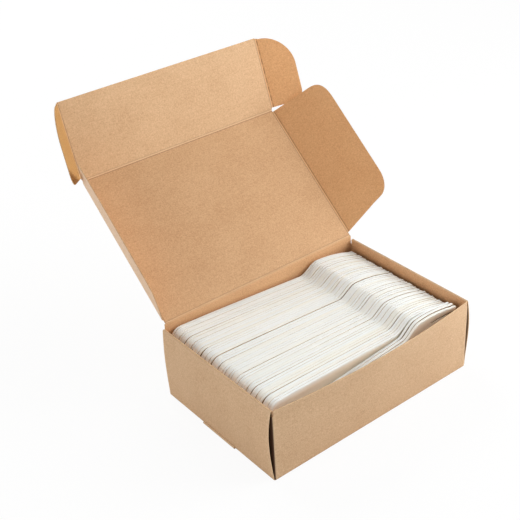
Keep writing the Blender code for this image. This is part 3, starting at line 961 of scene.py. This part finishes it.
@dataclass
class ForkShape:
    """One pressed fork on edge, with its handle end at x = 0 and its front face near y = 0."""

    length: float = FORK_LENGTH
    width: float = 25.2 * MM
    thickness: float = 1.5 * MM
    neck_x: float = FORK_LENGTH * 0.691
    shoulder_x: float = FORK_LENGTH * 0.784
    head_x: float = FORK_LENGTH * 0.80
    slot_x: float = FORK_LENGTH * 0.852
    neck_half: float = 5.4 * MM
    neck_ease: float = 4.0 * MM
    head_half: float = 12.4 * MM
    head_end_half: float = 7.4 * MM
    corner: float = 8.0 * MM
    tip_rise: float = 2.2 * MM
    bowl: float = 1.4 * MM
    rib: float = 0.55 * MM
    ruffle: float = 0.05 * MM
    unevenness: float = 0.10 * MM

    def half_width(self, x: Array) -> Array:
        """Work out the half width at x.

        The handle's end is a quarter circle at each corner. The handle tapers to the neck with the
        power 1.1 of the distance, a smooth step widens it to the shoulder, and the head narrows to
        the tips with the power 1.9.

        Args:
            x: Distances from the handle's end.

        Returns:
            The half width at each.
        """
        half = self.width / 2
        taper = np.clip((x - self.corner) / (self.neck_x - self.corner), 0.0, 1.0)
        handle = half - (half - self.neck_half) * taper**1.1
        round_end = np.sqrt(np.maximum(self.corner**2 - np.maximum(self.corner - x, 0.0) ** 2, 0.0))
        handle = handle - (self.corner - round_end)
        widen = smooth((x - self.neck_x) / (self.shoulder_x - self.neck_x))
        head = self.length - 2.5 * MM - self.shoulder_x
        narrow = np.clip((x - self.shoulder_x) / head, 0.0, 1.0) ** 1.9
        return (handle + widen * (self.head_half - self.neck_half)
                - narrow * (self.head_half - self.head_end_half))

    def press(self, x: Array, z: Array, half: Array) -> Array:
        """Work out how far the fork is pushed along y.

        The tips rise to the front with the square of the distance from the neck, the bowl sinks to
        the back by a parabola across times a sine along, and a rib runs down the handle.

        Args:
            x: Distances from the handle's end.
            z: Distances from the middle line.
            half: The half widths.

        Returns:
            The pushes to the back.
        """
        along = np.clip((x - self.neck_x) / (self.length - self.neck_x), 0.0, 1.0)
        across = np.clip(1.0 - (z / half) ** 2, 0.0, 1.0)
        bowl = self.bowl * np.sin(math.pi * along) * across - self.tip_rise * along**2
        on_handle = smooth((x - 10.0 * MM) / (12.0 * MM)) * smooth((self.neck_x - x) / (20.0 * MM))
        return bowl + self.rib * on_handle * smooth((0.62 * half - np.abs(z)) / (2.2 * MM))

    def stations(self, dense: int) -> tuple[Array, Array, int]:
        """Work out where the grid's stations are along the fork.

        Args:
            dense: How many times as fine as the coarsest grid.

        Returns:
            The x of every point, the x of every station on the longest line, and how many stations
            come before the tines.
        """
        ease_x, slot_x = self.neck_x - self.neck_ease, self.slot_x
        turn = np.linspace(0.0, math.pi / 2, 4 * dense + 1)
        body = np.concatenate([self.corner * (1.0 - np.cos(turn)),
                               np.linspace(self.corner, ease_x, 7 * dense)[1:],
                               np.linspace(ease_x, self.head_x, 8 * dense)[1:],
                               np.linspace(self.head_x, slot_x, 3 * dense)[1:]])
        tips = self.length - np.concatenate([TIP_STEPS, TIP_STEPS[::-1]])
        x = np.concatenate([np.repeat(body[:, None], LINES, 1),
                            slot_x + (tips - slot_x) * TINE_STEPS[:, None]])
        longest = np.concatenate([body, slot_x + (self.length - slot_x) * TINE_STEPS])
        return x, longest[:, None], len(body)

    def lines(self, x: Array, longest: Array, half: Array, seed: int) -> Array:
        """Work out the z of the sixteen lines along the fork.

        On the handle they keep set shares of the half width. From the neck to the slots a smooth
        step takes them to the edges of the tines. The outer ones ruffle a little.

        Args:
            x: The x of every point.
            longest: The x of every station on the longest line.
            half: The half width at every station.
            seed: Seeds the ruffle.

        Returns:
            The z of every point.
        """
        split = smooth((longest - self.neck_x) / (self.slot_x - self.neck_x))
        open_up = np.clip((longest - self.slot_x) / (self.length - self.slot_x), 0.0, 1.0)
        spread = half * 0.457
        slot = (0.5 + 0.4 * open_up) * MM
        on_tine = np.concatenate([(half + spread + slot) / 2, spread + slot, spread - slot,
                                  spread * 0.52, slot], 1)
        inner = (half * LINE_SHARES) * (1.0 - split) + on_tine * split
        upper = np.concatenate([half - RIM_LINES, inner], 1)
        z = np.concatenate([upper, -upper[:, ::-1]], 1)
        ruffle = self.ruffle * warp(x, z + seed * 3.0 * MM, seed, 40.0 * MM)
        return z + ruffle * smooth(np.abs(z) / (5.0 * MM))

    def build(self, dense: int, grow: Growth, seed: int, tone: float) -> Shell:
        """Build the fork's skin.

        The cells between the edges of the slots are left out. The edges are rounded by thinning the
        outer lines, the slots' lines and both ends.

        Args:
            dense: How many times as fine as the coarsest grid.
            grow: How far the faces stand out into the gaps and how much painted shade these get.
            seed: Seeds the small waves of this fork.
            tone: How creamy this fork is, from 0 to 1.

        Returns:
            The closed shell.
        """
        x, longest, tines_from = self.stations(dense)
        half = self.half_width(longest)
        z = self.lines(x, longest, half, seed)
        rounding = np.ones_like(x)
        rounding[:, [0, 1, -2, -1]] = (0.74, 0.93, 0.93, 0.74)
        rounding[tines_from:, SLOT_LINES] = 0.7
        rounding[-1] *= 0.5
        rounding[0] *= 0.45
        keep = np.ones((len(x) - 1, LINES - 1), bool)
        keep[tines_from - 1:, SLOT_CELLS] = False
        y = self.press(x, z, half) + self.unevenness * warp(x, z, seed + 50, 90.0 * MM)
        ahead, behind, ahead_dark, behind_dark = grow(x)
        middle = y + self.thickness / 2
        front_y = middle - (self.thickness / 2 + ahead) * rounding
        back_y = middle + (self.thickness / 2 + behind) * rounding
        inset = half - np.abs(z)
        # Painted shade on the faces, from none at the edge to full about half a millimetre in.
        hidden = smooth((inset - 0.02 * MM) / (0.45 * MM))
        values = {"face": smooth((inset - 0.5 * MM) / (1.6 * MM)), "tone": tone,
                  "hidden": hidden * ahead_dark}
        return make_shell(as_points(x, front_y, z), as_points(x, back_y, z), values, keep,
                          {"hidden": hidden * behind_dark})


@dataclass
class ForkRows:
    """Where each fork stands: a fan from the back wall, three dropped forks and the layer below."""

    shape: ForkShape
    pulp: bpy.types.Material
    fan_count: int = 47
    dropped_count: int = 3
    lower_count: int = 44
    row_back: float = WIDTH - 2.6 * MM
    fan_front: float = 6.5 * MM
    fan_front_tips: float = 16.34 * MM
    lower_front: float = 12.64 * MM
    wide_gap: float = 3.2
    wide_gaps_handle: tuple[int, ...] = (7, 15, 20, 23, 31, 38, 43)
    wide_gaps_head: tuple[int, ...] = (6, 13, 20, 29, 35, 43)
    handle_end: float = 4.2 * MM
    slip_per_gap: float = 1.4
    lift_scatter: float = 0.3 * MM
    dropped_gap: float = 0.4 * MM
    dropped_gap_tips: float = 1.5 * MM
    dropped_tilt: float = math.radians(6.0)
    rest_gap: float = 0.3 * MM
    stack_room: float = 0.7 * MM
    fill: float = 0.45
    fill_limit: float = 0.58 * MM
    fill_fade: float = 0.12
    least_fill: float = 0.80
    sharp_degrees: float = 60.0

    def gaps(self, front: float, wide: tuple[int, ...]) -> Array:
        """Share out the fan's free room.

        Args:
            front: The y of the front fork's face from the front wall.
            wide: The numbers of the gaps, from the back, that are wide_gap narrow ones wide.

        Returns:
            The gaps from the back.
        """
        weights = np.where(np.isin(np.arange(1, self.fan_count), wide), self.wide_gap, 1.0)
        room = self.row_back - front - self.fan_count * self.shape.thickness
        return weights * room / weights.sum()

    def faces(self, gaps: Array) -> Array:
        """Return each front face's y from the back fork to the front one."""
        steps = np.concatenate([[0.0], np.cumsum(gaps + self.shape.thickness)])
        return self.row_back - self.shape.thickness - steps

    def filler(self, behind: Array, ahead: Array, share: float) -> Growth:
        """Work out how far a fork's faces stand out into the gaps, from handle to tips.

        Real forks touch, and the solids keep apart. Each face takes up a share of its gap, held to
        the fill limit. A gap's painted shade is 0 where there is none, one half where it is tight
        and 1 where it is wide.

        Args:
            behind: The gap behind the fork at its handle end and at its tips.
            ahead: The gap in front of it.
            share: How much of the fill this fork takes.

        Returns:
            The growth of the fork's faces.
        """

        def grow(x: Array) -> tuple[Array, ...]:
            """Return the growth and the painted gap shade in front and behind at x."""
            along = x / self.shape.length
            gaps = [near + (far - near) * along for near, far in (ahead, behind)]
            held = self.fill * share * (1.0 - self.fill_fade * along)
            growth = [np.minimum(held * gap, self.fill_limit) for gap in gaps]
            # Painted gap shade: one half in any gap, and the rest where the gap is wide.
            dark = [0.5 * (gap > 0.0) + 0.5 * smooth((gap - 0.7 * MM) / (0.5 * MM)) for gap in gaps]
            return (*growth, *dark)

        return grow

    def stand(self, shell: Shell, start: float, face: float, slope: float, height: float,
              tilt: float) -> Shell:
        """Turn a fork and put it in the tray.

        Args:
            shell: The fork's skin.
            start: Its handle end's distance from the left wall.
            face: Its front face's distance from the front wall.
            slope: The face's slope along y.
            height: The height of its middle line.
            tilt: How far its handle drops, about the shoulder.

        Returns:
            The same skin, moved.
        """
        pivot = self.shape.shoulder_x
        x, y, z = shell.points.T
        rocked_x = pivot + (x - pivot) * math.cos(tilt) - z * math.sin(tilt)
        rocked_z = (x - pivot) * math.sin(tilt) + z * math.cos(tilt)
        turn = math.atan(slope)
        placed = np.stack([rocked_x * math.cos(turn) - y * math.sin(turn),
                           rocked_x * math.sin(turn) + y * math.cos(turn), rocked_z], -1)
        shell.points = placed + np.array([start - LENGTH / 2, face - WIDTH / 2, height])
        return shell

    def dress(self, node: str, shell: Shell) -> None:
        """Make one piece of pulp in the place of a solid."""
        piece = make_object(f"{node}_pulp", shell, [self.pulp], self.sharp_degrees)
        place_piece(piece, "tray", [node])

    def build(self) -> None:
        """Build the forks of the upper layer one by one, then the layer below as one piece."""
        foot = BOARD + self.rest_gap
        stack_top = foot + self.shape.width + self.stack_room
        axis = stack_top + self.rest_gap + self.shape.width / 2
        handle_gaps = self.gaps(self.fan_front, self.wide_gaps_handle)
        tip_gaps = self.gaps(self.fan_front_tips, self.wide_gaps_head)
        slip = self.slip_per_gap * tip_gaps.min()
        handle_gaps = np.append(handle_gaps, [self.dropped_gap] * self.dropped_count)
        tip_gaps = np.append(tip_gaps, [self.dropped_gap_tips] * self.dropped_count)
        handle_faces, tip_faces = self.faces(handle_gaps), self.faces(tip_gaps)
        ends = [[0.0, 0.0]]
        room = np.concatenate([ends, np.stack([handle_gaps, tip_gaps], -1), ends])
        room[self.fan_count] = 0.0
        scatter = random.Random(5)
        looks = random.Random(12)
        for i in range(self.fan_count + self.dropped_count):
            slope = (tip_faces[i] - handle_faces[i]) / self.shape.length
            start = self.handle_end + slip * scatter.uniform(-1, 1)
            lift = self.lift_scatter * scatter.uniform(0, 1)
            tilt = 0.0 if i < self.fan_count else self.dropped_tilt
            grow = self.filler(room[i], room[i + 1], looks.uniform(self.least_fill, 1.0))
            shell = self.shape.build(2, grow, 100 + i, looks.random() ** 2)
            self.dress(f"fork_{i + 1:02d}",
                       self.stand(shell, start, handle_faces[i], slope, axis + lift, tilt))
        self.build_lower(foot + (stack_top - foot) / 2)

    def build_lower(self, middle: float) -> None:
        """Build the hidden lower layer: the same forks in a close row, upright and square.

        Args:
            middle: The height of their middle lines.
        """
        back = self.row_back - self.shape.thickness
        faces = np.linspace(back, self.lower_front, self.lower_count)
        gap = np.repeat(faces[0] - faces[1] - self.shape.thickness, 2)
        grow = self.filler(gap, gap, 1.0)
        forks = [self.stand(self.shape.build(1, grow, 300 + i, 0.5), self.handle_end, face, 0.0,
                            middle, 0.0) for i, face in enumerate(faces)]
        self.dress("lower_fork_stack", forks[0].joined(forks[1:]))


# ---- studio ----


def level_axes(back: Array) -> tuple[Array, Array]:
    """Return the level right and the up of something that looks away from back."""
    right = np.cross([0.0, 0.0, 1.0], back)
    right = right / np.linalg.norm(right)
    return right, np.cross(back, right)


def stand_item(data: bpy.types.ID, place: Place, axes: tuple[Array, ...]) -> bpy.types.Object:
    """Stand a camera or a lamp in the scene.

    Args:
        data: Its data, which also gives the name.
        place: Where it stands.
        axes: Its right, its up and its back.

    Returns:
        The new object.
    """
    matrix = np.eye(4)
    matrix[:3, :3] = np.stack(axes, -1)
    matrix[:3, 3] = place
    item = bpy.data.objects.new(data.name, data)
    item.matrix_world = Matrix(matrix.tolist())
    bpy.context.scene.collection.objects.link(item)
    return item


@dataclass(frozen=True)
class Lamp:
    """A square soft lamp that faces the middle of the tray."""

    name: str
    place: Place
    size: float
    power: float
    aim: Place = (0.0, 0.0, 0.05)

    def build(self) -> None:
        """Hang the lamp."""
        data = bpy.data.lights.new(self.name, "AREA")
        data.shape = "SQUARE"
        data.size = self.size
        data.energy = self.power
        back = np.array(self.place) - np.array(self.aim)
        back = back / np.linalg.norm(back)
        stand_item(data, self.place, (*level_axes(back), back))


@dataclass
class Studio:
    """The camera, the soft lamps, the white surroundings and the floor."""

    azimuth: float = math.radians(-36.8164)
    elevation: float = math.radians(31.6928)
    roll: float = math.radians(-3.4968)
    lens_mm: float = 72.23
    sensor_mm: float = 36.0
    camera_place: Place = (-0.36644, -0.43114, 0.44781)
    world_strength: float = 0.28
    floor_half: float = 3.0
    floor_glow: float = 0.92
    lamps: tuple[Lamp, ...] = (
        Lamp("key_lamp", (0.9, -0.9, 1.0), 1.0, 5.0),
        Lamp("right_lamp", (0.56, -0.34, 0.24), 0.45, 3.8),
        Lamp("high_lamp", (0.8, -0.3, 1.0), 0.8, 2.5),
        Lamp("left_lamp", (-1.3, 0.0, 0.36), 1.0, 8.6),
        Lamp("back_lamp", (0.1, 1.2, 1.0), 1.0, 12.6),
    )

    def camera(self) -> None:
        """Stand the camera where the photograph was taken from."""
        a, e = self.azimuth, self.elevation
        back = np.array([math.sin(a) * math.cos(e), -math.cos(a) * math.cos(e), math.sin(e)])
        right, up = level_axes(back)
        rolled_right = math.cos(self.roll) * right + math.sin(self.roll) * up
        rolled_up = math.cos(self.roll) * up - math.sin(self.roll) * right
        data = bpy.data.cameras.new("camera")
        data.sensor_width = self.sensor_mm
        data.lens = self.lens_mm
        data.clip_start = 0.01
        item = stand_item(data, self.camera_place, (rolled_right, rolled_up, back))
        bpy.context.scene.camera = item

    def world(self) -> None:
        """Light evenly from all round, and show plain white to the camera."""
        world = bpy.data.worlds.new("surroundings")
        bpy.context.scene.world = world
        graph = Graph(world)
        camera_ray = graph.node("LightPath", {}, {}, "Is Camera Ray")
        through_ray = graph.node("LightPath", {}, {}, "Is Transmission Ray")
        seen = graph.node("Math", {"operation": "MAXIMUM"}, {0: camera_ray, 1: through_ray})
        strength = seen * (1.0 - self.world_strength) + self.world_strength
        light = graph.node("Background", {}, {"Color": (1.0, 1.0, 1.0, 1.0), "Strength": strength})
        graph.node("OutputWorld", {}, {"Surface": light}, None)

    def floor(self) -> None:
        """Lay a white floor that keeps a faint shadow."""
        side = np.linspace(-self.floor_half, self.floor_half, 3)
        x, y = side[:, None], side
        graph = Graph(bpy.data.materials.new("floor_white"))
        plain = graph.node("BsdfDiffuse", {}, {"Color": (0.9, 0.9, 0.9, 1.0)})
        glow = graph.node("Emission", {}, {"Color": (1.0, 1.0, 1.0, 1.0), "Strength": 1.0})
        seen = graph.node("LightPath", {}, {}, "Is Camera Ray")
        both = graph.node("MixShader", {}, {0: seen * self.floor_glow, 1: plain, 2: glow})
        slab = make_shell(as_points(x, y, -0.02 * MM), as_points(x, y, -2.0 * MM))
        floor = make_object("floor", slab, [graph.close(both)])

    def build(self) -> None:
        """Set up the whole studio."""
        self.camera()
        self.world()
        self.floor()
        for lamp in self.lamps:
            lamp.build()
        bpy.context.scene.view_settings.view_transform = "Standard"


INSIDE_KRAFT = KraftFinish("kraft_inside", (190, 143, 98), (220, 178, 134), (116, 74, 42),
                           (232, 194, 152))
# A more saturated copy of the inside kraft: painted shade and warm bounce inside the tray.
TRAY_SHADE_KRAFT = KraftFinish("kraft_tray_inside", (196, 146, 101), (226, 180, 135), (104, 66, 38),
                         (228, 190, 148))
# A lighter, greyer copy of the inside kraft: painted sheen on the tuck flap.
TUCK_SHEEN_KRAFT = KraftFinish("kraft_tuck", (192, 150, 107), (222, 184, 142), (126, 84, 50),
                         (234, 200, 160))
# A more orange copy of the inside kraft: painted warm bounce light on the side flaps and the right
# ear.
FLAP_BOUNCE_KRAFT = KraftFinish("kraft_flap", (208, 150, 98), (235, 184, 131), (112, 68, 38),
                         (232, 190, 145))
# A darker copy of the flap kraft: painted shade on the left ear's inside.
LEFT_EAR_SHADE_KRAFT = KraftFinish("kraft_left_ear", (170, 122, 67), (196, 151, 93), (112, 68, 38),
                        (226, 180, 130))
OUTSIDE_KRAFT = KraftFinish("kraft_outside", (184, 147, 110), (212, 179, 142), (78, 52, 34),
                            (226, 198, 163))
# A lighter copy of the outside kraft: painted grazing sheen on the outer faces of the side flaps
# and the right ear.
FLAP_OUTSIDE_SHEEN_KRAFT = KraftFinish("kraft_flap_outside", (202, 166, 132), (230, 199, 167),
                                 (112, 80, 52), (238, 212, 182))
CUT_KRAFT = KraftFinish("kraft_cut", (180, 142, 102), (216, 182, 142), (150, 112, 76),
                        (224, 194, 156), mottle=1.4, roughness=0.8)
WHITE_PULP = PulpFinish("bagasse_pulp", (242, 245, 243), (243, 242, 233), (236, 228, 211),
                        (194, 166, 126), (92, 66, 42))


def main() -> None:
    """Build the pack in order, then the studio."""
    logging.basicConfig(level=logging.INFO, format="%(name)s: %(message)s")
    outside, cut = OUTSIDE_KRAFT.material(), CUT_KRAFT.material()
    board = BoardFinishes(INSIDE_KRAFT.material(), outside, cut)
    tuck_board = BoardFinishes(TUCK_SHEEN_KRAFT.material(), outside, cut)
    flap_board = BoardFinishes(FLAP_BOUNCE_KRAFT.material(), FLAP_OUTSIDE_SHEEN_KRAFT.material(), cut)
    Tray(BoardFinishes(TRAY_SHADE_KRAFT.material(), outside, cut)).build()
    # The left ear's board carries painted shade.
    ear_board = BoardFinishes(LEFT_EAR_SHADE_KRAFT.material(), outside, cut)
    Lid(board, tuck_board, flap_board, ear_board).build()
    ForkRows(ForkShape(), WHITE_PULP.material()).build()
    Studio().build()


if __name__ == "__main__":
    main()
